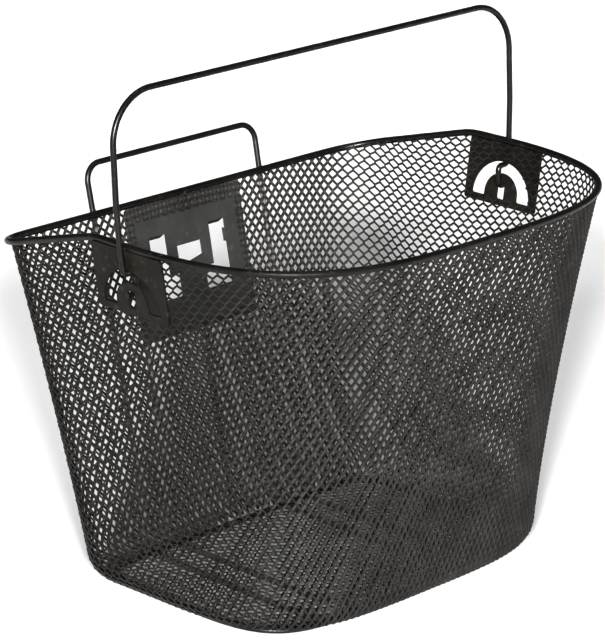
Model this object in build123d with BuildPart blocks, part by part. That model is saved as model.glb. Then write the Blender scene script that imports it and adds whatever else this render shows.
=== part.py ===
from build123d import *
import math
import os

# Handlebar basket of expanded steel mesh with a swinging bail handle, in millimetres.
# +Z is up, -Y is the front, +Y is the handlebar side, and the origin is under the
# middle of the basket, on the surface it stands on.

# wire and sheet stock
wire_d = 3.8
ring_d = 4.0
rim_d = 4.5
sheet = 1.0
plate_t = 1.5
weld = 0.3

# heights
ring_z = wire_d + ring_d / 2 - weld
floor_z = ring_z + ring_d / 2 - weld
rim_back_z = 228.7
rim_front_z = 257.5
loft_top_z = 262.0

# plan of the wall's outer face at the floor and at the front rim
floor_half_back = 144.0
rim_half_back = 168.9
floor_half_side = 142.6
rim_half_side = 172.5
floor_side_y = 10.5
rim_side_y = -6.2
floor_front_y = -103.3
rim_front_y = -144.6
floor_back_y = 89.2
rim_back_y = 134.9
floor_side_pull = 112.0
rim_side_pull = 137.0
floor_front_pull = 97.0
rim_front_pull = 84.0
corner_r = 33.0
curl_r = 16.0
flare_power = 1.35
loft_sections = 6

# the rim climbs from the low back to the front level along each side
ramp_y = 29.5
knee_r = 60.0

# bottom ring, inset from the foot of the wall
ring_half = 124.0
ring_back_y = 81.5
ring_front_y = -82.4
ring_side_y = -4.0
ring_side_pull = 80.0
ring_front_pull = 99.0
ring_corner_r = 26.0

# rear hoop and the inner pair of support wires
hoop_half_top = 76.5
hoop_half_foot = 72.0
hoop_half_front = 76.0
hoop_top_z = 259.8
hoop_corner_r = 12.0
foot_bend_r = 12.0
support_half = 49.0
floor_rise_y = -42.0
floor_level_y = -60.0
floor_bend_r = 30.0
floor_wire_gap = 0.1
hoop_end_y = -78.1
support_end_y = -80.3

# bracket plate on the back wall
bracket_w = 104.0
bracket_low_z = 136.5
bracket_high_z = 226.0
bracket_press = 0.05
slot_in = 19.5
slot_out = 34.5
slot_low_z = 160.5
slot_high_z = 204.0
slot_foot_in = 11.5
slot_foot_z = 176.0
window_half = 11.0
window_high_z = 194.0
window_low_z = 184.5
window_dip = 2.5
lip_depth = 5.0
lip_drop = 3.0
lip_t = 1.2
support_gap = 0.5
latch_z = 188.0
latch_len = 9.0
latch_depth = 2.5
mesh_gap_half = 46.0
mesh_gap_low_z = 142.0
mesh_gap_high_z = 216.5

# side plates, bail hinge and bail
hinge_y = -1.9
hinge_z = 226.6
side_plate_len = 63.0
side_plate_low_z = 213.0
side_plate_high_z = 255.8
arch_z = 217.5
arch_outer_r = 25.5
arch_end_r = 1.5
tongue_half = 14.0
tongue_side = 3.4
arch_mesh_r = 27.0
hook_slot_w = 6.6
hook_slot_corner_r = 1.5
hook_slot_low_z = 217.0
hook_slot_high_z = 228.8
bail_half = 178.0
bail_reach = 125.4
bail_lean = 2.79
bail_corner_r = 32.0
bail_neck = 58.0
bail_neck_r = 60.0
rim_pass = 31.0
rim_pass_half = 176.5
leg_half = 174.5
leg_turn = 13.9
inner_leg_half = 165.5
tip_half = 172.5
hook_r = 3.3

plate_gap = 0.1


def blend(low, high, share):
    return low + (high - low) * share


def flare(z):
    """How far the sides and front have opened from the floor plan to the rim plan."""
    return max(0.0, (z - floor_z) / (rim_front_z - floor_z)) ** flare_power


def back_y(z):
    """The back wall's flat outer face."""
    return blend(floor_back_y, rim_back_y, (z - floor_z) / (rim_back_z - floor_z))


def side_x(z):
    """The side wall's outer face beside the bail hinge."""
    return blend(floor_half_side, rim_half_side, flare(z))


def wall_plan(z, inset):
    """Outline of the wall at one height, moved inwards by inset."""
    share = flare(z)
    half_back = blend(floor_half_back, rim_half_back, share) - inset
    half_side = blend(floor_half_side, rim_half_side, share) - inset
    side_y = blend(floor_side_y, rim_side_y, share)
    front_y = blend(floor_front_y, rim_front_y, share) + inset
    side_pull = blend(floor_side_pull, rim_side_pull, share) - inset
    front_pull = blend(floor_front_pull, rim_front_pull, share)
    back = back_y(z) - inset
    with BuildSketch(Plane.XY.offset(z)) as plan:
        with BuildLine():
            FilletPolyline(
                (0, back), (half_back, back), (half_side, side_y), radius=corner_r - inset
            )
            Bezier(
                (half_side, side_y), (half_side, side_y - side_pull), (front_pull, front_y), (0, front_y)
            )
            mirror(about=Plane.YZ)
        make_face()
    return plan.sketch


def ring_plan(inset):
    """Outline of the bottom ring's centre line, moved inwards by inset."""
    half = ring_half - inset
    with BuildSketch(Plane.XY) as plan:
        with BuildLine():
            ring_half_path(half, ring_back_y - inset, ring_front_y + inset, ring_corner_r - inset)
            mirror(about=Plane.YZ)
        make_face()
    return plan.sketch


def ring_half_path(half, back, front, radius):
    FilletPolyline((0, back), (half, back), (half, ring_side_y), radius=radius)
    Bezier(
        (half, ring_side_y),
        (half, ring_side_y - ring_side_pull),
        (ring_front_pull, front),
        (0, front),
    )


# expanded-mesh wall: a thin tapering sheet, curled in at the foot, open at the top
section_heights = [
    blend(floor_z, loft_top_z, step / (loft_sections - 1)) for step in range(loft_sections)
]
outer_plans = [wall_plan(z, 0) for z in section_heights]
inner_plans = [wall_plan(z, sheet) for z in section_heights]
floor_hole = ring_plan(0)

with BuildPart() as hollow:
    loft(inner_plans)
    fillet(hollow.edges().group_by(Axis.Z)[0], curl_r - sheet)
raised_hollow = Pos(0, 0, sheet) * hollow.part

with BuildPart() as wall_mesh:
    loft(outer_plans)
    fillet(wall_mesh.edges().group_by(Axis.Z)[0], curl_r)
    add(raised_hollow, mode=Mode.SUBTRACT)
    with BuildSketch(Plane.YZ) as above_rim:
        with BuildLine():
            FilletPolyline(
                (rim_back_y, rim_back_z),
                (ramp_y, rim_front_z),
                (2 * rim_front_y, rim_front_z),
                radius=knee_r,
            )
            Polyline(
                (2 * rim_front_y, rim_front_z),
                (2 * rim_front_y, 2 * rim_front_z),
                (2 * rim_back_y, 2 * rim_front_z),
                (2 * rim_back_y, rim_back_z),
                (rim_back_y, rim_back_z),
            )
        make_face()
    extrude(amount=2 * rim_half_side, both=True, mode=Mode.SUBTRACT)
    with BuildSketch(Plane.XY):
        add(floor_hole)
    extrude(amount=floor_z + 2 * sheet, mode=Mode.SUBTRACT)
    with BuildSketch(Plane.YZ) as side_window:
        with Locations((hinge_y, arch_z)):
            Circle(arch_mesh_r)
            Rectangle(
                2 * arch_mesh_r, arch_mesh_r, align=(Align.CENTER, Align.MAX), mode=Mode.SUBTRACT
            )
    extrude(amount=2 * rim_half_side, both=True, mode=Mode.SUBTRACT)
    with BuildSketch(Plane.XZ) as bracket_window:
        with Locations((0, mesh_gap_low_z)):
            Rectangle(
                2 * mesh_gap_half,
                mesh_gap_high_z - mesh_gap_low_z,
                align=(Align.CENTER, Align.MIN),
            )
    extrude(amount=-2 * rim_back_y, mode=Mode.SUBTRACT)
wall_mesh.part.label = "wall_mesh"

# flat mesh panel inside the bottom ring
with BuildPart() as bottom_mesh:
    with BuildSketch(Plane.XY.offset(floor_z)):
        add(ring_plan(weld))
    extrude(amount=sheet)
bottom_mesh.part.label = "bottom_mesh"

# rim wire on the wall's top edge
rim_inset = sheet / 2
with BuildPart() as rim_wire:
    with BuildLine() as rim_path:
        half_back = rim_half_back - rim_inset
        half_side = rim_half_side - rim_inset
        knee_share = (rim_back_y - ramp_y) / (rim_back_y - rim_side_y)
        knee_x = blend(half_back, half_side, knee_share)
        back = rim_back_y - rim_inset
        front = rim_front_y + rim_inset
        FilletPolyline(
            (0, back, rim_back_z),
            (half_back, back, rim_back_z),
            (knee_x, ramp_y, rim_front_z),
            (half_side, rim_side_y, rim_front_z),
            radius=[corner_r, knee_r],
        )
        Bezier(
            (half_side, rim_side_y, rim_front_z),
            (half_side, rim_side_y - rim_side_pull, rim_front_z),
            (rim_front_pull, front, rim_front_z),
            (0, front, rim_front_z),
        )
    with BuildSketch(Plane.YZ):
        with Locations((back, rim_back_z)):
            Circle(rim_d / 2)
    sweep(path=rim_path.wires()[0])
    mirror(about=Plane.YZ)
rim_wire.part.label = "rim_wire"

# bottom ring under the edges of both mesh pieces
with BuildPart() as bottom_ring:
    with BuildLine(Plane.XY.offset(ring_z)) as ring_path:
        ring_half_path(ring_half, ring_back_y, ring_front_y, ring_corner_r)
    with BuildSketch(Plane.YZ):
        with Locations((ring_back_y, ring_z)):
            Circle(ring_d / 2)
    sweep(path=ring_path.wires()[0])
    mirror(about=Plane.YZ)
bottom_ring.part.label = "bottom_ring"

# rear hoop: one wire over the back rim, down the back wall and forward under the floor,
# where it rises to butt against the inside of the bottom ring
wire_r = wire_d / 2
hoop_rim_y = rim_back_y - rim_inset + rim_d / 2 + wire_r - weld
hoop_foot_z = floor_z + curl_r
hoop_foot_y = back_y(hoop_foot_z) + wire_r - weld / 2
hoop_slope = (hoop_rim_y - hoop_foot_y) / (rim_back_z - hoop_foot_z)
hoop_top_y = hoop_rim_y + hoop_slope * (hoop_top_z - rim_back_z)
hoop_low_y = hoop_foot_y - hoop_slope * (hoop_foot_z - wire_r)
floor_wire_z = floor_z - wire_r - floor_wire_gap


def hoop_leg_x(y):
    """The hoop's legs spread a little as they run forward under the floor."""
    return blend(hoop_half_foot, hoop_half_front, (hoop_low_y - y) / (hoop_low_y - hoop_end_y))


with BuildPart() as rear_hoop:
    with BuildLine() as hoop_path:
        FilletPolyline(
            (0, hoop_top_y, hoop_top_z),
            (hoop_half_top, hoop_top_y, hoop_top_z),
            (hoop_half_foot, hoop_low_y, wire_r),
            (hoop_leg_x(floor_rise_y), floor_rise_y, wire_r),
            (hoop_leg_x(floor_level_y), floor_level_y, floor_wire_z),
            (hoop_half_front, hoop_end_y, floor_wire_z),
            radius=[hoop_corner_r, foot_bend_r, floor_bend_r, floor_bend_r],
        )
    with BuildSketch(Plane.YZ):
        with Locations((hoop_top_y, hoop_top_z)):
            Circle(wire_r)
    sweep(path=hoop_path.wires()[0])
    mirror(about=Plane.YZ)
rear_hoop.part.label = "rear_hoop"

# inner support wires: from the bracket plate's lower edge, down the wall and forward under the floor
support_top_z = bracket_low_z - support_gap
support_top_y = back_y(support_top_z) + wire_r - weld / 2
support_slope = (support_top_y - hoop_foot_y) / (support_top_z - hoop_foot_z)
support_low_y = hoop_foot_y - support_slope * (hoop_foot_z - wire_r)


def support_wire(side):
    x = side * support_half
    with BuildPart() as wire:
        with BuildLine() as path:
            FilletPolyline(
                (x, support_top_y, support_top_z),
                (x, support_low_y, wire_r),
                (x, floor_rise_y, wire_r),
                (x, floor_level_y, floor_wire_z),
                (x, support_end_y, floor_wire_z),
                radius=[foot_bend_r, floor_bend_r, floor_bend_r],
            )
        with BuildSketch(Plane(path.wires()[0] @ 0, z_dir=path.wires()[0] % 0)):
            Circle(wire_r)
        sweep(path=path.wires()[0])
    return wire.part


# bracket plate: takes the handlebar adapter through its two hook slots
back_tilt = math.atan((rim_back_y - floor_back_y) / (rim_back_z - floor_z))
back_plane = Plane(
    origin=(0, back_y(bracket_low_z) - bracket_press, bracket_low_z),
    x_dir=(-1, 0, 0),
    z_dir=(0, math.cos(back_tilt), -math.sin(back_tilt)),
)


# section across the bracket plate: x runs out of its back face, y up its length
lip_plane = Plane(origin=back_plane.origin, x_dir=back_plane.z_dir, z_dir=(1, 0, 0))


def up_plate(z):
    """Distance up the tilted bracket plate to a height."""
    return (z - bracket_low_z) / math.cos(back_tilt)


with BuildPart() as bracket_plate:
    with BuildSketch(back_plane) as bracket_outline:
        Rectangle(bracket_w, up_plate(bracket_high_z), align=(Align.CENTER, Align.MIN))
        fillet(bracket_outline.vertices(), 3.0)
        for side in (-1, 1):
            slot_mid = side * (slot_in + slot_out) / 2
            with Locations((slot_mid, up_plate(slot_low_z))):
                Rectangle(
                    slot_out - slot_in,
                    up_plate(slot_high_z) - up_plate(slot_low_z),
                    align=(Align.CENTER, Align.MIN),
                    mode=Mode.SUBTRACT,
                )
            foot_mid = side * (slot_foot_in + slot_in) / 2
            with Locations((foot_mid, up_plate(slot_low_z))):
                Rectangle(
                    slot_in - slot_foot_in,
                    up_plate(slot_foot_z) - up_plate(slot_low_z),
                    align=(Align.CENTER, Align.MIN),
                    mode=Mode.SUBTRACT,
                )
        with BuildLine():
            Polyline(
                (-window_half, up_plate(window_high_z)),
                (window_half, up_plate(window_high_z)),
                (window_half, up_plate(window_low_z)),
                (0, up_plate(window_low_z) - window_dip),
                (-window_half, up_plate(window_low_z)),
                close=True,
            )
        make_face(mode=Mode.SUBTRACT)
    extrude(amount=plate_t)
    # a lip folded back and down from the top of each slot
    for x in (-slot_out, slot_in):
        with BuildSketch(lip_plane.offset(x)):
            with BuildLine():
                Polyline(
                    (plate_t / 2, up_plate(slot_high_z)),
                    (plate_t + lip_depth, up_plate(slot_high_z) - lip_drop),
                    (plate_t + lip_depth, up_plate(slot_high_z) - lip_drop + lip_t),
                    (plate_t / 2, up_plate(slot_high_z) + lip_t),
                    close=True,
                )
            make_face()
        extrude(amount=slot_out - slot_in)
    # a latch tab beside one slot
    with BuildSketch(back_plane.offset(plate_t / 2)):
        with Locations((-slot_out, up_plate(latch_z))):
            Rectangle(lip_t, latch_len, align=(Align.MAX, Align.MIN))
    extrude(amount=plate_t / 2 + latch_depth)
bracket_plate.part.label = "bracket_plate"

# side plates: each carries one end of the bail on a tongue left inside an arched window
side_rise = side_plate_high_z - side_plate_low_z
side_tilt = math.atan((side_x(side_plate_high_z) - side_x(side_plate_low_z)) / side_rise)


def side_plate(side):
    plane = Plane(
        origin=(side * (side_x(side_plate_low_z) + plate_gap), hinge_y, side_plate_low_z),
        x_dir=(0, side, 0),
        z_dir=(side * math.cos(side_tilt), 0, -math.sin(side_tilt)),
    )
    arch_up = (arch_z - side_plate_low_z) / math.cos(side_tilt)
    with BuildPart() as plate:
        with BuildSketch(plane) as outline:
            Rectangle(
                side_plate_len, side_rise / math.cos(side_tilt), align=(Align.CENTER, Align.MIN)
            )
            fillet(outline.vertices(), 2.0)
        extrude(amount=plate_t)
        with BuildSketch(plane) as arch:
            with BuildLine():
                CenterArc((0, arch_up), arch_outer_r, 0, 180)
                Line((-arch_outer_r, arch_up), (-tongue_half, arch_up))
                Line((-tongue_half, arch_up), (-tongue_half, arch_up + tongue_side))
                CenterArc((0, arch_up + tongue_side), tongue_half, 0, 180)
                Line((tongue_half, arch_up + tongue_side), (tongue_half, arch_up))
                Line((tongue_half, arch_up), (arch_outer_r, arch_up))
            make_face()
            fillet(arch.vertices().group_by(Axis.Y)[0], arch_end_r)
        extrude(amount=plate_t, mode=Mode.SUBTRACT)
        with BuildSketch(Plane.YZ):
            with Locations((hinge_y, (hook_slot_low_z + hook_slot_high_z) / 2)):
                RectangleRounded(
                    hook_slot_w, hook_slot_high_z - hook_slot_low_z, hook_slot_corner_r
                )
        extrude(amount=side * 2 * rim_half_side, mode=Mode.SUBTRACT)
    return plate.part


# bail: one wire, leaning slightly back at rest. Each leg goes in through its side plate's arched
# window, down the inside of the tongue and out again through the slot
bail_plane = Plane(
    origin=(0, hinge_y, hinge_z),
    x_dir=(1, 0, 0),
    z_dir=(0, -math.cos(math.radians(bail_lean)), math.sin(math.radians(bail_lean))),
)
with BuildPart() as bail_handle:
    with BuildLine(bail_plane) as bail_path:
        FilletPolyline(
            (0, bail_reach),
            (bail_half, bail_reach),
            (bail_half, bail_neck),
            (rim_pass_half, rim_pass),
            (leg_half, leg_turn),
            (inner_leg_half, leg_turn),
            (inner_leg_half, 0),
            (tip_half, 0),
            radius=[bail_corner_r, bail_neck_r, bail_neck_r, hook_r, hook_r, hook_r],
        )
    with BuildSketch(Plane(bail_path.wires()[0] @ 0, z_dir=(1, 0, 0))):
        Circle(wire_r)
    sweep(path=bail_path.wires()[0])
    mirror(about=Plane.YZ)
bail_handle.part.label = "bail_handle"

pieces = [
    wall_mesh.part,
    bottom_mesh.part,
    rim_wire.part,
    bottom_ring.part,
    rear_hoop.part,
    bracket_plate.part,
    bail_handle.part,
]
for side, word in ((-1, "left"), (1, "right")):
    support = support_wire(side)
    support.label = f"inner_support_{word}"
    pieces.append(support)
    plate = side_plate(side)
    plate.label = f"side_plate_{word}"
    pieces.append(plate)

os.makedirs("parts", exist_ok=True)
for piece in pieces:
    export_step(piece, f"parts/{piece.label}.step")
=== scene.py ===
import math

import bpy
import numpy as np
from mathutils import Matrix, Vector


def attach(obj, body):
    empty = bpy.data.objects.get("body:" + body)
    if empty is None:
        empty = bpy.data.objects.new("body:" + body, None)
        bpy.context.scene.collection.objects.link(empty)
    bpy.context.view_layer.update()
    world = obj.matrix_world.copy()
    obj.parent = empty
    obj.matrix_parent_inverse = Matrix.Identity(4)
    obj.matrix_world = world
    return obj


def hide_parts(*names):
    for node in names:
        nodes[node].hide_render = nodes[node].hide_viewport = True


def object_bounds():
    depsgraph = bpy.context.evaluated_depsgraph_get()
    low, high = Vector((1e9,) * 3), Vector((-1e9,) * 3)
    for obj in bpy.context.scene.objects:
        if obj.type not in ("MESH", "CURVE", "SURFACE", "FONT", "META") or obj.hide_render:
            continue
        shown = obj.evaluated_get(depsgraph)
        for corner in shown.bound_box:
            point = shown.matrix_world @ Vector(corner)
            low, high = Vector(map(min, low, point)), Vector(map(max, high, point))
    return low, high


# Handlebar basket of expanded steel mesh, in metres, in the CAD frame: +Z up, -Y the front.
# The wires and plates are the CAD nodes. The two mesh sheets are built here, strand by strand.

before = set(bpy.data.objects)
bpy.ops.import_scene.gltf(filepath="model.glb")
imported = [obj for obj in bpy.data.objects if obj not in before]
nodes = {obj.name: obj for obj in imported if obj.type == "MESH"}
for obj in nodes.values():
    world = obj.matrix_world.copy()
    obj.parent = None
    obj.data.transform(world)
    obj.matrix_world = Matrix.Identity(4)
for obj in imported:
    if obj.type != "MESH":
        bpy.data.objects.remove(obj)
cad_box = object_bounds()

# the wall sheet's plan as the CAD has it. A pair is its value at the floor and at the rim
FLOOR_Z = 0.0072
RIM_BACK_Z = 0.2287
RIM_FRONT_Z = 0.2575
TOP_Z = 0.262
HALF_BACK = (0.1440, 0.1689)
HALF_SIDE = (0.1426, 0.1725)
SIDE_Y = (0.0105, -0.0062)
FRONT_Y = (-0.1033, -0.1446)
BACK_Y = (0.0892, 0.1349)
SIDE_PULL = (0.1120, 0.1370)
FRONT_PULL = (0.0970, 0.0840)
CORNER_R = 0.033
CURL_R = 0.016
FLARE_POWER = 1.35
RAMP_Y = 0.0295
KNEE_R = 0.060
SHEET = 0.001

# bottom ring
RING_HALF = 0.124
RING_BACK_Y = 0.0815
RING_FRONT_Y = -0.0824
RING_SIDE_Y = -0.004
RING_SIDE_PULL = 0.080
RING_FRONT_PULL = 0.099
RING_CORNER_R = 0.026

# openings in the wall sheet: one round each side plate's arch, one behind the bracket plate
HINGE_Y = -0.0019
ARCH_Z = 0.2175
ARCH_MESH_R = 0.027
MESH_GAP_HALF = 0.046
MESH_GAP_LOW_Z = 0.142
MESH_GAP_HIGH_Z = 0.2165

# expanded metal: one strand's section and the bond where four strands meet
STRAND_T = 0.0009
RELIEF = 0.00050
BOND_HALF_W = 0.00074
BOND_FLAT = 0.00035
BOND_TIP = 0.00152
BOND_SHARE = 0.25

# the wall's mesh: its rows get lower towards the rim, and its two ends lap at the back
COLUMNS = 148
ROWS = 31
ROW_AT_FOOT = 0.0108
ROW_SHRINK = 0.0084
LAP = 0.0015
LAP_COLUMNS = 1.5

# how wide the wall's mesh is pulled, by share of the half outline from the back to the front,
# and how far a wider pull lowers its rows
CORNER_PULL = 0.2
CORNER_AT = 0.43
CORNER_SPREAD = 0.17
FRONT_CLOSE = 0.14
ROW_SHORTENING = 0.3

# the bottom panel's mesh
FLOOR_COLUMN = 0.0063
FLOOR_ROW = 0.0098

# points along the outlines, and levels of the grid that the wall's points are read from
ARC_POINTS = 24
CURVE_POINTS = 80
SHARES = 500
LEVELS = 90
PAST_TOP = 0.01
COLUMN_SAMPLES = 400


# ---------------------------------------------------------------- shape of the sheets


def blend(pair, share):
    """The value at a share of the way from the pair's first to its second."""
    return pair[0] + (pair[1] - pair[0]) * share


def half_outline(
    half_back, back, half_side, side_y, side_pull, front_pull, front_y, radius
):
    """An outline's right half: points from the middle of the back to the middle of the front."""
    corner = np.array([half_back, back])
    along_back = np.array([-1.0, 0.0])
    along_side = np.array([half_side, side_y]) - corner
    along_side /= np.linalg.norm(along_side)
    half_angle = math.acos(along_back @ along_side) / 2
    reach = radius / math.tan(half_angle)
    towards = along_back + along_side
    centre = corner + towards / np.linalg.norm(towards) * radius / math.sin(half_angle)
    starts = [corner + along_back * reach - centre, corner + along_side * reach - centre]
    angles = np.linspace(*[math.atan2(v[1], v[0]) for v in starts], ARC_POINTS)
    arc = centre + radius * np.stack([np.cos(angles), np.sin(angles)], 1)
    t = np.linspace(0, 1, CURVE_POINTS)[:, None]
    p0 = np.array((half_side, side_y))
    p1 = np.array((half_side, side_y - side_pull))
    p2 = np.array((front_pull, front_y))
    p3 = np.array((0, front_y))
    curve = (1 - t) ** 3 * p0 + 3 * (1 - t) ** 2 * t * p1 + 3 * (1 - t) * t**2 * p2 + t**3 * p3
    return np.concatenate([[[0.0, back]], arc, curve])


def even_points(points, count):
    """The same line with points at equal steps along it."""
    length = np.concatenate([[0], np.cumsum(np.linalg.norm(np.diff(points, axis=0), axis=1))])
    at = np.linspace(0, length[-1], count)
    return np.stack([np.interp(at, length, points[:, k]) for k in range(2)], 1)


def wall_outline(z, inset):
    """The wall's half outline at a height, moved inwards by inset."""
    flare = max(0.0, (z - FLOOR_Z) / (RIM_FRONT_Z - FLOOR_Z)) ** FLARE_POWER
    back = blend(BACK_Y, (z - FLOOR_Z) / (RIM_BACK_Z - FLOOR_Z))
    return half_outline(
        blend(HALF_BACK, flare) - inset,
        back - inset,
        blend(HALF_SIDE, flare) - inset,
        blend(SIDE_Y, flare),
        blend(SIDE_PULL, flare) - inset,
        blend(FRONT_PULL, flare),
        blend(FRONT_Y, flare) + inset,
        CORNER_R - inset,
    )


def ring_outline():
    return half_outline(
        RING_HALF,
        RING_BACK_Y,
        RING_HALF,
        RING_SIDE_Y,
        RING_SIDE_PULL,
        RING_FRONT_PULL,
        RING_FRONT_Y,
        RING_CORNER_R,
    )


level_z = np.linspace(FLOOR_Z, TOP_Z + PAST_TOP, LEVELS)
wall_grid = np.array([even_points(wall_outline(z, SHEET / 2), SHARES) for z in level_z])
ring_line = even_points(ring_outline(), SHARES)


def wall_at(share, z):
    """Points in the middle of the sheet, at a share of the half outline and a height."""
    i = np.clip((z - level_z[0]) / (level_z[1] - level_z[0]), 0, LEVELS - 1.001)
    j = np.clip(share * (SHARES - 1), 0, SHARES - 1.001)
    i0, j0 = i.astype(int), j.astype(int)
    di, dj = (i - i0)[:, None], (j - j0)[:, None]
    low = wall_grid[i0, j0] * (1 - dj) + wall_grid[i0, j0 + 1] * dj
    high = wall_grid[i0 + 1, j0] * (1 - dj) + wall_grid[i0 + 1, j0 + 1] * dj
    return low * (1 - di) + high * di


def stretch(share):
    """How wide the mesh is pulled: most round the back corners, least at the front."""
    at_corner = np.exp(-(((share - CORNER_AT) / CORNER_SPREAD) ** 2))
    return 1 + CORNER_PULL * at_corner - FRONT_CLOSE * share**4


def share_of_column():
    """Matching lists: the part of the half's columns passed, and the outline's share there."""
    share = np.linspace(0, 1, COLUMN_SAMPLES)
    count = np.concatenate([[0], np.cumsum(1 / stretch((share[1:] + share[:-1]) / 2))])
    return count / count[-1], share


column_count, column_share = share_of_column()


def wall_point(column, row):
    """Middle of the wall sheet at a column and a row of the mesh."""
    turn = column / COLUMNS
    left = turn > 0.5
    half = np.where(left, 1 - turn, turn) * 2
    side = np.where(left, -1.0, 1.0) * np.sign(half)
    share = np.interp(np.abs(half), column_count, column_share)
    run = ROW_AT_FOOT / ROW_SHRINK * (1 - np.exp(-ROW_SHRINK * row))
    run = run * (1 - ROW_SHORTENING * (stretch(share) - stretch(1.0)))
    z0 = FLOOR_Z + SHEET / 2
    radius = CURL_R - SHEET / 2
    foot = wall_at(share, np.full_like(share, z0))
    at = share * (SHARES - 1)
    ring = np.stack([np.interp(at, np.arange(SHARES), ring_line[:, k]) for k in range(2)], 1)
    inward = ring - foot
    inset = np.linalg.norm(inward, axis=1)
    inward /= inset[:, None]
    flat = np.maximum(0, inset - radius)
    start = np.arcsin(np.clip(1 - inset / radius, 0, 1))
    angle = np.clip(start + (run - flat) / radius, start, math.pi / 2)
    above = np.maximum(0, run - flat - radius * (math.pi / 2 - start))
    lean = wall_at(share, np.full_like(share, RIM_BACK_Z)) - foot
    upright = np.cos(np.arctan2(np.linalg.norm(lean, axis=1), RIM_BACK_Z - z0))
    z = z0 + radius * (1 - np.cos(angle)) + above * upright
    from_foot = np.where(run < flat, inset - run, radius * (1 - np.sin(angle)))
    xy = wall_at(share, z) + inward * from_foot[:, None]
    return np.stack([xy[:, 0] * side, xy[:, 1], z], 1)


def rim_z(y):
    """Height of the rim above a place in the plan."""
    slope = (RIM_FRONT_Z - RIM_BACK_Z) / (BACK_Y[1] - RAMP_Y)
    knee = KNEE_R * math.tan(math.atan(slope) / 2)
    past = np.clip(y - RAMP_Y + knee, 0, 2 * knee)
    drop = slope * past**2 / (4 * knee) + slope * np.maximum(0, y - RAMP_Y - knee)
    return np.maximum(RIM_FRONT_Z - drop, RIM_BACK_Z)


def in_wall(p):
    """True where the wall sheet has mesh: under the rim and outside its openings."""
    x, y, z = p[:, 0], p[:, 1], p[:, 2]
    arch = ((y - HINGE_Y) ** 2 + (z - ARCH_Z) ** 2 < ARCH_MESH_R**2) & (z > ARCH_Z)
    behind_bracket = (np.abs(x) < MESH_GAP_HALF) & (y > 0)
    bracket = behind_bracket & (z > MESH_GAP_LOW_Z) & (z < MESH_GAP_HIGH_Z)
    return (z < rim_z(y)) & ~arch & ~bracket


floor_columns = 2 * math.ceil(RING_HALF / FLOOR_COLUMN)
floor_rows = 2 * math.ceil(RING_HALF / FLOOR_ROW)
column_middle = floor_columns / 2
row_middle = floor_rows / 2


def floor_point(column, row):
    """Middle of the bottom panel at a column and a row. Its rows are counted along +X."""
    x = (row - row_middle) * FLOOR_ROW
    y = (column_middle - column) * FLOOR_COLUMN
    return np.stack([x, y, np.full_like(x, FLOOR_Z + SHEET / 2)], 1)


ring_loop = np.concatenate([ring_line, (ring_line * [-1, 1])[::-1][1:-1]])


def in_floor(p):
    """True inside the bottom ring."""
    ax, ay = ring_loop[:, 0], ring_loop[:, 1]
    bx, by = np.roll(ax, -1), np.roll(ay, -1)
    x, y = p[:, 0:1], p[:, 1:2]
    spans = (ay > y) != (by > y)
    crossing = ax + (y - ay) / np.where(by == ay, 1, by - ay) * (bx - ax)
    return (np.sum(spans & (x < crossing), axis=1) % 2) == 1


# ---------------------------------------------------------------- expanded metal


def new_object(name, verts, faces):
    mesh = bpy.data.meshes.new(name)
    mesh.from_pydata([tuple(v) for v in verts], [], faces)
    mesh.validate()
    made = bpy.data.objects.new(name, mesh)
    bpy.context.scene.collection.objects.link(made)
    return made


# the six corners of a bond: place across and up the sheet, and how far out of it
CORNERS = np.array(
    [
        (0, BOND_TIP, 0),
        (-BOND_HALF_W, BOND_FLAT, RELIEF),
        (-BOND_HALF_W, -BOND_FLAT, RELIEF),
        (0, -BOND_TIP, 0),
        (BOND_HALF_W, -BOND_FLAT, -RELIEF),
        (BOND_HALF_W, BOND_FLAT, -RELIEF),
    ]
)
TOP, LEFT_HIGH, LEFT_LOW, BOTTOM, RIGHT_LOW, RIGHT_HIGH = range(6)
# A strand runs up to the right (1) or left (-1). These are its left and right corner on the lower
# bond, and then on the upper bond.
STRANDS = {1: (TOP, RIGHT_HIGH, LEFT_LOW, BOTTOM), -1: (LEFT_HIGH, TOP, BOTTOM, RIGHT_LOW)}
# a bond's vertices: its six corners on the sheet's outer side, then the same six on its inner side
INNER = 6
BOND_VERTS = 12
OUTER_FACE = (RIGHT_HIGH, TOP, LEFT_HIGH, LEFT_LOW, BOTTOM, RIGHT_LOW)
BOND_SIDES = ((LEFT_LOW, LEFT_HIGH), (RIGHT_HIGH, RIGHT_LOW))
# how a strand is cut at the edge of the sheet
CUT_HALVINGS = 10
SHORTEST_CUT = 0.03
# the part of a column or row over which the sheet's directions are taken
DIRECTION_STEP = 0.02


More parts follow.
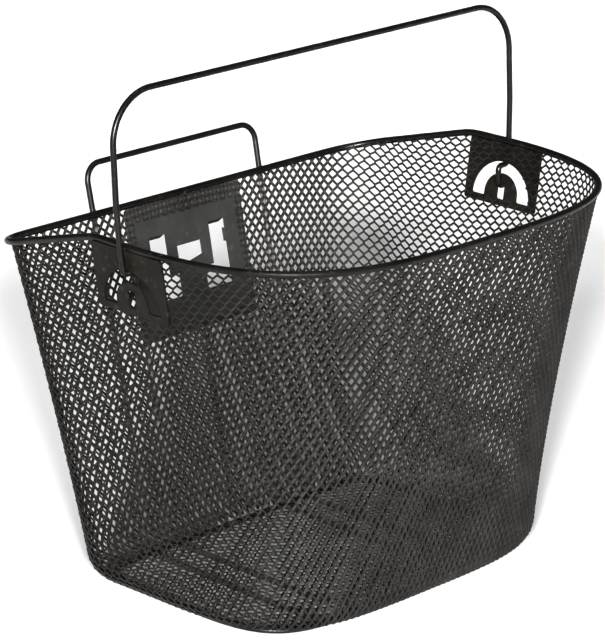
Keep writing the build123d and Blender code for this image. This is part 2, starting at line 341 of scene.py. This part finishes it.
def expanded_metal(names, columns, rows, point, solid, push=None):
    """A sheet of expanded metal, handed over as one object per name, side by side.

    Columns and rows are counted in half steps, and a bond stands where their sum is even. point
    gives the middle of the sheet at a column and row, solid says where there is mesh, and push is
    how far a column lies out of the sheet.
    """
    a, b = np.meshgrid(np.arange(columns[0], columns[1] + 1), np.arange(rows[0], rows[1] + 1))
    keep = (a + b) % 2 == 0
    a, b = a[keep], b[keep]
    place = {(int(i), int(j)): k for k, (i, j) in enumerate(zip(a, b))}
    column, row = a / 2.0, b / 2.0
    centre = point(column, row)
    across = point(column + DIRECTION_STEP, row) - point(column - DIRECTION_STEP, row)
    upward = point(column, row + DIRECTION_STEP) - point(column, row - DIRECTION_STEP)
    across /= np.linalg.norm(across, axis=1)[:, None]
    upward /= np.linalg.norm(upward, axis=1)[:, None]
    out = np.cross(upward, across)
    out /= np.linalg.norm(out, axis=1)[:, None]
    if push is not None:
        centre = centre + out * push(column)[:, None]
    inside = solid(centre)
    corners = (
        centre[:, None]
        + CORNERS[None, :, 0:1] * across[:, None]
        + CORNERS[None, :, 1:2] * upward[:, None]
        + CORNERS[None, :, 2:3] * out[:, None]
    )
    outer = corners + out[:, None] * STRAND_T / 2
    inner = corners - out[:, None] * STRAND_T / 2
    verts = list(np.concatenate([outer, inner], 1).reshape(-1, 3))
    panels = [[] for _ in names]
    panel_width = (columns[1] + 1 - columns[0]) / len(names)

    def strand_end(k, other, heel, toe):
        """Four new corners where a strand is cut off between two bonds."""
        low, high = 0.0, 1.0
        for _ in range(CUT_HALVINGS):
            middle = (low + high) / 2
            there = centre[k] * (1 - middle) + centre[other] * middle
            if solid(there[None])[0]:
                low = middle
            else:
                high = middle
        share = min(max((low - BOND_SHARE) / (1 - 2 * BOND_SHARE), SHORTEST_CUT), 1.0)
        first = len(verts)
        for layer in (outer, inner):
            for start, end in zip(heel, toe):
                verts.append(layer[k, start] * (1 - share) + layer[other, end] * share)
        return [first, first + 1, first + 2, first + 3]

    def tube(faces, left_low, right_low, right_high, left_high):
        """The four sides of a strand. Each argument is (outer vertex, inner vertex)."""
        faces.append((left_low[0], right_low[0], right_high[0], left_high[0]))
        faces.append((right_low[1], left_low[1], left_high[1], right_high[1]))
        faces.append((right_low[0], right_low[1], right_high[1], right_high[0]))
        faces.append((left_low[1], left_low[0], left_high[0], left_high[1]))

    for k in np.flatnonzero(inside):
        base = BOND_VERTS * int(k)
        faces = panels[int((a[k] - columns[0]) / panel_width)]
        faces.append(tuple(base + i for i in OUTER_FACE))
        faces.append(tuple(base + INNER + i for i in OUTER_FACE[::-1]))
        for start, end in BOND_SIDES:
            faces.append((base + end, base + start, base + INNER + start, base + INNER + end))
        for side, (left, right, far_left, far_right) in STRANDS.items():
            for rise in (1, -1):
                near = (left, right) if rise == 1 else (far_left, far_right)
                far = (far_left, far_right) if rise == 1 else (left, right)
                other = place.get((int(a[k]) + side * rise, int(b[k]) + rise))
                pair = [(base + i, base + INNER + i) for i in near]
                if other is None:
                    e = [pair[0][0], pair[1][0], pair[1][1], pair[0][1]]
                    faces.append(tuple(e if rise == 1 else e[::-1]))
                    continue
                if inside[other]:
                    if rise == 1:
                        there = BOND_VERTS * other
                        ends = [(there + i, there + INNER + i) for i in far]
                        tube(faces, pair[0], pair[1], ends[1], ends[0])
                    continue
                e = strand_end(k, other, near, far)
                ends = [(e[0], e[2]), (e[1], e[3])]
                if rise == 1:
                    tube(faces, pair[0], pair[1], ends[1], ends[0])
                    faces.append((e[0], e[1], e[3], e[2]))
                else:
                    tube(faces, ends[0], ends[1], pair[1], pair[0])
                    faces.append((e[2], e[3], e[1], e[0]))
    sheets = []
    for name, faces in zip(names, panels):
        used = sorted({i for f in faces for i in f})
        renumber = {old: new for new, old in enumerate(used)}
        kept_faces = [tuple(renumber[i] for i in f) for f in faces]
        sheets.append(new_object(name, [verts[i] for i in used], kept_faces))
    return sheets


def lap(column):
    """The sheet's two ends lap at the back, so the last columns step inwards over the first."""
    past = np.clip((column - (COLUMNS - LAP_COLUMNS)) / LAP_COLUMNS, 0, 1)
    return -LAP * past * past * (3 - 2 * past)


def wrapped_wall_point(column, row):
    """wall_point for columns that run on past the last one, over the first."""
    return wall_point(np.mod(column, COLUMNS), row)


wall_halves = expanded_metal(
    ["wall_mesh_right", "wall_mesh_left"],
    (0, 2 * COLUMNS + 1),
    (0, 2 * ROWS),
    wrapped_wall_point,
    in_wall,
    lap,
)
(floor_mesh,) = expanded_metal(
    ["bottom_mesh_panel"],
    (0, 2 * floor_columns),
    (0, 2 * floor_rows),
    floor_point,
    in_floor,
)
for half in wall_halves:
    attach(half, "basket")
    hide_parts("wall_mesh")
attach(floor_mesh, "basket")
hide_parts("bottom_mesh")


# ---------------------------------------------------------------- welds and plate edges


BEAD_LUMPS = 0.12


def weld_bead(name, at, along, length, width, seed):
    """A small lumpy bead of weld, lying along one direction."""
    rng = np.random.default_rng(seed)
    rings, sides = 9, 12
    along = np.array(along, float) / np.linalg.norm(along)
    helper = np.array([0.0, 0.0, 1.0]) if abs(along[2]) < 0.9 else np.array([1.0, 0.0, 0.0])
    first = np.cross(along, helper)
    first /= np.linalg.norm(first)
    second = np.cross(along, first)
    centre = np.array(at, float)
    verts = [centre - along * length / 2]
    for i in range(1, rings):
        turn = math.pi * i / rings
        for j in range(sides):
            spin = 2 * math.pi * j / sides
            lump = rng.uniform(-BEAD_LUMPS, BEAD_LUMPS)
            radius = width / 2 * math.sin(turn) * (1 + lump)
            round_it = first * math.cos(spin) + second * math.sin(spin)
            verts.append(centre - along * math.cos(turn) * length / 2 + round_it * radius)
    verts.append(centre + along * length / 2)
    faces = [(0, 1 + (j + 1) % sides, 1 + j) for j in range(sides)]
    for i in range(rings - 2):
        low, high = 1 + i * sides, 1 + (i + 1) * sides
        for j in range(sides):
            k = (j + 1) % sides
            faces.append((low + j, low + k, high + k, high + j))
    last = 1 + (rings - 2) * sides
    faces += [(len(verts) - 1, last + j, last + (j + 1) % sides) for j in range(sides)]
    bead = new_object(name, verts, faces)
    for polygon in bead.data.polygons:
        polygon.use_smooth = True
    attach(bead, "basket")
    return bead


# where the right side's welds lie, on the rim's back and at the wires' ends on the bottom ring
RIM_R = 0.00225
HOOP_RIM = (0.0759, BACK_Y[1] - SHEET / 2 + RIM_R, RIM_BACK_Z)
HOOP_END = (0.076, -0.0790, 0.0053)
SUPPORT_END = (0.049, -0.0812, 0.0053)
UPRIGHT, SIDEWAYS = (0, 0, 1), (1, 0, 0)
WELDS = (
    ("weld_hoop_rim", HOOP_RIM, UPRIGHT, 0.0052, 0.0034, 11),
    ("weld_hoop_ring", HOOP_END, SIDEWAYS, 0.0056, 0.0030, 25),
    ("weld_support_ring", SUPPORT_END, SIDEWAYS, 0.0056, 0.0030, 28),
)
beads = []
for sign, side in ((-1, "left"), (1, "right")):
    for name, (x, y, z), along, length, width, seed in WELDS:
        at = (sign * x, y, z)
        beads.append(weld_bead(f"{name}_{side}", at, along, length, width, seed + sign))

EDGE_ROUND = 0.0003
SHARP_EDGE = math.radians(40)
for node in ("bracket_plate", "side_plate_left", "side_plate_right"):
    edge = nodes[node].modifiers.new("rounded_edges", "BEVEL")
    edge.width = EDGE_ROUND
    edge.segments = 2
    edge.limit_method = "ANGLE"
    edge.angle_limit = SHARP_EDGE


# ---------------------------------------------------------------- materials


# the coating. Scales are per metre, and the pairs are where a noise starts and stops counting
PATCH_SCALE = 38
PATCH_EDGES = (0.32, 0.72)
DUST_TONE = (0.16, 0.15, 0.135)
DUST_EDGES = (0.60, 0.74)
DUST_MOST = 0.14
# a paler tone on the frame wires below the back rim, in uneven patches: the patches' noise scale,
# edges and least cover, and the depths below the rim where it starts and where it is full
PALER_PATCH_SCALE = 55
PALER_PATCH_EDGES = (0.2, 0.6)
PALER_LEAST = 0.35
PALER_BELOW_RIM = (0.004, 0.010)
SMEAR_SCALE = 90
PORE_SCALE = 900
PORE_DEPTH = 0.0002
PAINT_IOR = 1.5


def painted_steel(name, base, light, roughness, shine, peel, speckle, paler_below_rim=None):
    """Black coated steel: two tones in patches, uneven gloss and the coating's fine orange peel.

    The last argument is a paler tone laid over the wires from just below the back rim downwards,
    in uneven patches.
    """
    made = bpy.data.materials.new(name)
    made.use_nodes = True
    tree = made.node_tree
    tree.nodes.clear()
    shader = tree.nodes.new("ShaderNodeBsdfPrincipled")
    output = tree.nodes.new("ShaderNodeOutputMaterial")
    tree.links.new(shader.outputs["BSDF"], output.inputs["Surface"])
    place = tree.nodes.new("ShaderNodeTexCoord")

    def noise(scale, detail, rough):
        node = tree.nodes.new("ShaderNodeTexNoise")
        node.inputs["Scale"].default_value = scale
        node.inputs["Detail"].default_value = detail
        node.inputs["Roughness"].default_value = rough
        tree.links.new(place.outputs["Object"], node.inputs["Vector"])
        return node.outputs["Fac"]

    def spread(source, edges, ends=(0, 1)):
        """The source between two edges, spread between two ends."""
        node = tree.nodes.new("ShaderNodeMapRange")
        node.inputs["From Min"].default_value, node.inputs["From Max"].default_value = edges
        node.inputs["To Min"].default_value, node.inputs["To Max"].default_value = ends
        tree.links.new(source, node.inputs["Value"])
        return node.outputs["Result"]

    def laid_over(under, over, cover):
        """The colour under, with a plain colour over it where there is cover."""
        node = tree.nodes.new("ShaderNodeMixRGB")
        node.inputs["Color2"].default_value = (*over, 1)
        tree.links.new(cover, node.inputs["Fac"])
        tree.links.new(under, node.inputs["Color1"])
        return node.outputs["Color"]

    tone = tree.nodes.new("ShaderNodeValToRGB")
    for element, edge, colour in zip(tone.color_ramp.elements, PATCH_EDGES, (base, light)):
        element.position = edge
        element.color = (*colour, 1)
    tree.links.new(noise(PATCH_SCALE, detail=4, rough=0.6), tone.inputs["Fac"])
    dust = spread(noise(speckle, detail=2, rough=0.5), DUST_EDGES, (0, DUST_MOST))
    colour = laid_over(tone.outputs["Color"], DUST_TONE, dust)
    # a paler tone laid over the wires below the back rim, in uneven patches
    if paler_below_rim is not None:
        height = tree.nodes.new("ShaderNodeSeparateXYZ")
        tree.links.new(place.outputs["Object"], height.inputs["Vector"])
        paler_from, paler_full = (RIM_BACK_Z - below for below in PALER_BELOW_RIM)
        paler_cover = tree.nodes.new("ShaderNodeMath")
        paler_cover.operation = "MULTIPLY"
        tree.links.new(spread(height.outputs["Z"], (paler_from, paler_full)), paler_cover.inputs[0])
        uneven = spread(noise(PALER_PATCH_SCALE, detail=3, rough=0.6), PALER_PATCH_EDGES, (PALER_LEAST, 1))
        tree.links.new(uneven, paler_cover.inputs[1])
        colour = laid_over(colour, paler_below_rim, paler_cover.outputs["Value"])
    tree.links.new(colour, shader.inputs["Base Color"])
    gloss = spread(noise(SMEAR_SCALE, detail=3, rough=0.55), (0, 1), roughness)
    tree.links.new(gloss, shader.inputs["Roughness"])
    bump = tree.nodes.new("ShaderNodeBump")
    bump.inputs["Strength"].default_value = peel
    bump.inputs["Distance"].default_value = PORE_DEPTH
    tree.links.new(noise(PORE_SCALE, detail=2, rough=0.5), bump.inputs["Height"])
    tree.links.new(bump.outputs["Normal"], shader.inputs["Normal"])
    shader.inputs["IOR"].default_value = PAINT_IOR
    shader.inputs["Specular IOR Level"].default_value = shine
    return made


mesh_paint = painted_steel(
    "mesh_paint",
    base=(0.016, 0.0148, 0.0138),
    light=(0.030, 0.0280, 0.0260),
    roughness=(0.50, 0.70),
    shine=0.22,
    peel=0.25,
    speckle=420,
)
wire_paint = painted_steel(
    "wire_paint",
    base=(0.0045, 0.0042, 0.004),
    light=(0.011, 0.0100, 0.009),
    roughness=(0.26, 0.40),
    shine=0.40,
    peel=0.15,
    speckle=300,
)
# the frame wires get a paler tone below the back rim, in uneven patches
frame_paint = painted_steel(
    "frame_paint",
    base=(0.0055, 0.0052, 0.005),
    light=(0.013, 0.0120, 0.011),
    roughness=(0.30, 0.46),
    shine=0.45,
    peel=0.15,
    speckle=300,
    paler_below_rim=(0.150, 0.144, 0.132),
)
# the bracket plate has the side plates' black coating, made paler here as painted light where the
# plate faces up into the light
bracket_paint_painted_light = painted_steel(
    "bracket_paint_painted_light",
    base=(0.030, 0.030, 0.029),
    light=(0.042, 0.0415, 0.040),
    roughness=(0.50, 0.66),
    shine=0.25,
    peel=0.30,
    speckle=260,
)
# the side plates' coating is made darker here as painted shade where they face down and outwards,
# and browner as a painted reflection
plate_paint_painted_shade = painted_steel(
    "plate_paint_painted_shade",
    base=(0.0075, 0.0066, 0.0055),
    light=(0.017, 0.0150, 0.012),
    roughness=(0.46, 0.62),
    shine=0.22,
    peel=0.30,
    speckle=260,
)


def paint(piece, material):
    piece.data.materials.clear()
    piece.data.materials.append(material)


for piece in (*wall_halves, floor_mesh):
    paint(piece, mesh_paint)
for bead in beads:
    paint(bead, wire_paint)
for material, names in (
    (wire_paint, ("rim_wire", "bottom_ring", "bail_handle")),
    (frame_paint, ("rear_hoop", "inner_support_left", "inner_support_right")),
    (bracket_paint_painted_light, ("bracket_plate",)),
    (plate_paint_painted_shade, ("side_plate_left", "side_plate_right")),
):
    for node in names:
        paint(nodes[node], material)


# ---------------------------------------------------------------- studio


FLOOR_REACH = 6.0
PAPER_TONE = 0.86
PAPER_ROUGHNESS = 0.9


def studio_floor():
    """A plain pale sheet under the basket, flat well past it on all sides."""
    signs = ((-1, -1), (1, -1), (1, 1), (-1, 1))
    corners = [(x * FLOOR_REACH, y * FLOOR_REACH, 0) for x, y in signs]
    made = new_object("studio_floor", corners, [(0, 1, 2, 3)])
    pale = bpy.data.materials.new("studio_paper")
    pale.use_nodes = True
    shader = pale.node_tree.nodes["Principled BSDF"]
    shader.inputs["Base Color"].default_value = (PAPER_TONE, PAPER_TONE, PAPER_TONE, 1)
    shader.inputs["Roughness"].default_value = PAPER_ROUGHNESS
    made.data.materials.append(pale)
    return made


studio_floor()


def direction(azimuth, elevation):
    """The direction towards a place round the basket: azimuth from the front, in degrees."""
    a, e = math.radians(azimuth), math.radians(elevation)
    return Vector((math.sin(a) * math.cos(e), -math.cos(a) * math.cos(e), math.sin(e)))


def add_lamp(name, data, towards):
    """A lamp turned to shine from that direction. It stands at the origin until it's placed."""
    lamp = bpy.data.objects.new(name, data)
    bpy.context.scene.collection.objects.link(lamp)
    lamp.rotation_mode = "QUATERNION"
    lamp.rotation_quaternion = (-towards).to_track_quat("-Z", "Y")
    return lamp


def soft_sun(name, azimuth, elevation, width, strength):
    data = bpy.data.lights.new(name, "SUN")
    data.angle = math.radians(width)
    data.energy = strength
    add_lamp(name, data, direction(azimuth, elevation))


def softbox(name, azimuth, elevation, distance, width, height, power):
    data = bpy.data.lights.new(name, "AREA")
    data.shape = "RECTANGLE"
    data.size = width
    data.size_y = height
    data.energy = power
    towards = direction(azimuth, elevation)
    lamp = add_lamp(name, data, towards)
    lamp.location = (cad_box[0] + cad_box[1]) / 2 + towards * distance


# the camera, fitted to the photograph's outline
CAMERA_AZIMUTH = -45.03
CAMERA_ELEVATION = 18.69
CAMERA_ROLL = 0.17
CAMERA_DISTANCE = 2.168
CAMERA_LENS = 186.8
CAMERA_SENSOR = 36
CAMERA_TARGET = Vector((0.0, 0.0198, 0.1651))

# the suns stand on both sides of the camera, so that the basket's shadow falls behind it
SUN_APART = 8
SUN_ELEVATION = 20
SUN_WIDTH = 5
SURROUND = 0.09
soft_sun("key_light_left", CAMERA_AZIMUTH - SUN_APART, SUN_ELEVATION, SUN_WIDTH, strength=4.3)
soft_sun("key_light_right", CAMERA_AZIMUTH + SUN_APART, SUN_ELEVATION, SUN_WIDTH, strength=3.7)
softbox(
    "top_softbox", azimuth=10, elevation=78, distance=1.6, width=1.2, height=0.9, power=2.5
)

world = bpy.data.worlds.new("studio")
world.use_nodes = True
world.node_tree.nodes["Background"].inputs["Color"].default_value = (1, 1, 1, 1)
world.node_tree.nodes["Background"].inputs["Strength"].default_value = SURROUND
bpy.context.scene.world = world


def make_camera():
    data = bpy.data.cameras.new("camera")
    data.lens = CAMERA_LENS
    data.sensor_width = CAMERA_SENSOR
    data.clip_start = 0.05
    data.clip_end = 50
    made = bpy.data.objects.new("camera", data)
    bpy.context.scene.collection.objects.link(made)
    back = direction(CAMERA_AZIMUTH, CAMERA_ELEVATION)
    azimuth, roll = math.radians(CAMERA_AZIMUTH), math.radians(CAMERA_ROLL)
    level = Vector((math.cos(azimuth), math.sin(azimuth), 0))
    right = level * math.cos(roll) + back.cross(level) * math.sin(roll)
    turn = Matrix((right, back.cross(right), back)).transposed()
    made.rotation_mode = "QUATERNION"
    made.rotation_quaternion = turn.to_quaternion()
    made.location = CAMERA_TARGET + back * CAMERA_DISTANCE
    bpy.context.scene.camera = made


make_camera()
bpy.context.scene.view_settings.view_transform = "Standard"
bpy.context.scene.view_settings.look = "High Contrast"
